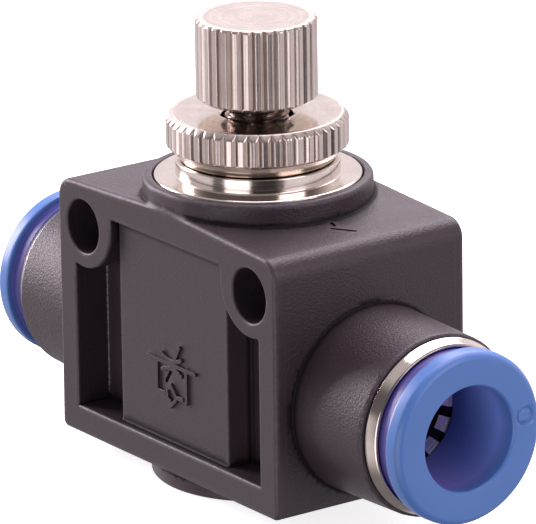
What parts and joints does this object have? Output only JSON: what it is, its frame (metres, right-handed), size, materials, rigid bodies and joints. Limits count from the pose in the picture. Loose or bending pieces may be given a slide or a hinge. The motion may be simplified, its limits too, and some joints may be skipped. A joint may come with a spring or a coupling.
{
  "type": "flow control valve",
  "caption": "In-line one-way pneumatic flow control valve: black moulded body, push-in tube ports on both ends, knurled needle knob and lock nut on top.",
  "frame": {"origin": "centre of the round foot's lower face, under the knob", "axes": "+X along the tubes to the right port, -Y out of the front face with the recessed panel and the flow symbol, +Z along the needle to the knob"},
  "size_m": [0.0536, 0.0178, 0.0363],
  "materials": {
    "black_plastic": "fine spark-eroded texture, satin",
    "nickel_plate": "bright nickel plate on turned brass",
    "needle_metal": "turned, nickel flashed",
    "blue_plastic": "moulded, semi-gloss",
    "stainless": "pressed spring sheet",
    "acetal": "moulded, satin",
    "brass": "turned",
    "nitrile": "moulded rubber, matt"
  },
  "bodies": {
    "housing": {"body": "black_plastic", "bonnet": "nickel_plate", "bonnet_seal": "nitrile", "valve_seat": "brass", "check_seal": "nitrile", "right_guide_sleeve": "nickel_plate", "right_grip_ring": "stainless", "right_collet_ring": "acetal", "right_tube_seal": "nitrile", "left_guide_sleeve": "nickel_plate", "left_grip_ring": "stainless", "left_collet_ring": "acetal", "left_tube_seal": "nitrile"},
    "right_release": {"right_release_ring": "blue_plastic"},
    "left_release": {"left_release_ring": "blue_plastic"},
    "needle_lift": {"needle_seal": "nitrile"},
    "spindle": {"needle": "needle_metal", "knob": "nickel_plate"},
    "nut": {"lock_nut": "nickel_plate"}
  },
  "joints": [
    {"name": "right_release_press", "type": "slide", "parent": "housing", "child": "right_release", "axis": [-1, 0, 0], "range_m": [0, 0.0006], "stiffness_N_per_m": 400},
    {"name": "left_release_press", "type": "slide", "parent": "housing", "child": "left_release", "axis": [1, 0, 0], "range_m": [0, 0.0006], "stiffness_N_per_m": 400},
    {"name": "needle_travel", "type": "slide", "parent": "housing", "child": "needle_lift", "axis": [0, 0, 1], "range_m": [-0.0008, 0.0031]},
    {"name": "knob_turn", "type": "hinge", "parent": "needle_lift", "child": "spindle", "pos_m": [0, 0, 0.03], "axis": [0, 0, 1], "range_deg": [-580, 2240]},
    {"name": "lock_nut_turn", "type": "hinge", "parent": "housing", "child": "nut", "pos_m": [0, 0, 0.027], "axis": [0, 0, 1], "range_deg": [0, 360]}
  ],
  "couplings": [
    {"joint": "knob_turn", "follows": "needle_travel", "rad_per_m": 12566}
  ]
}
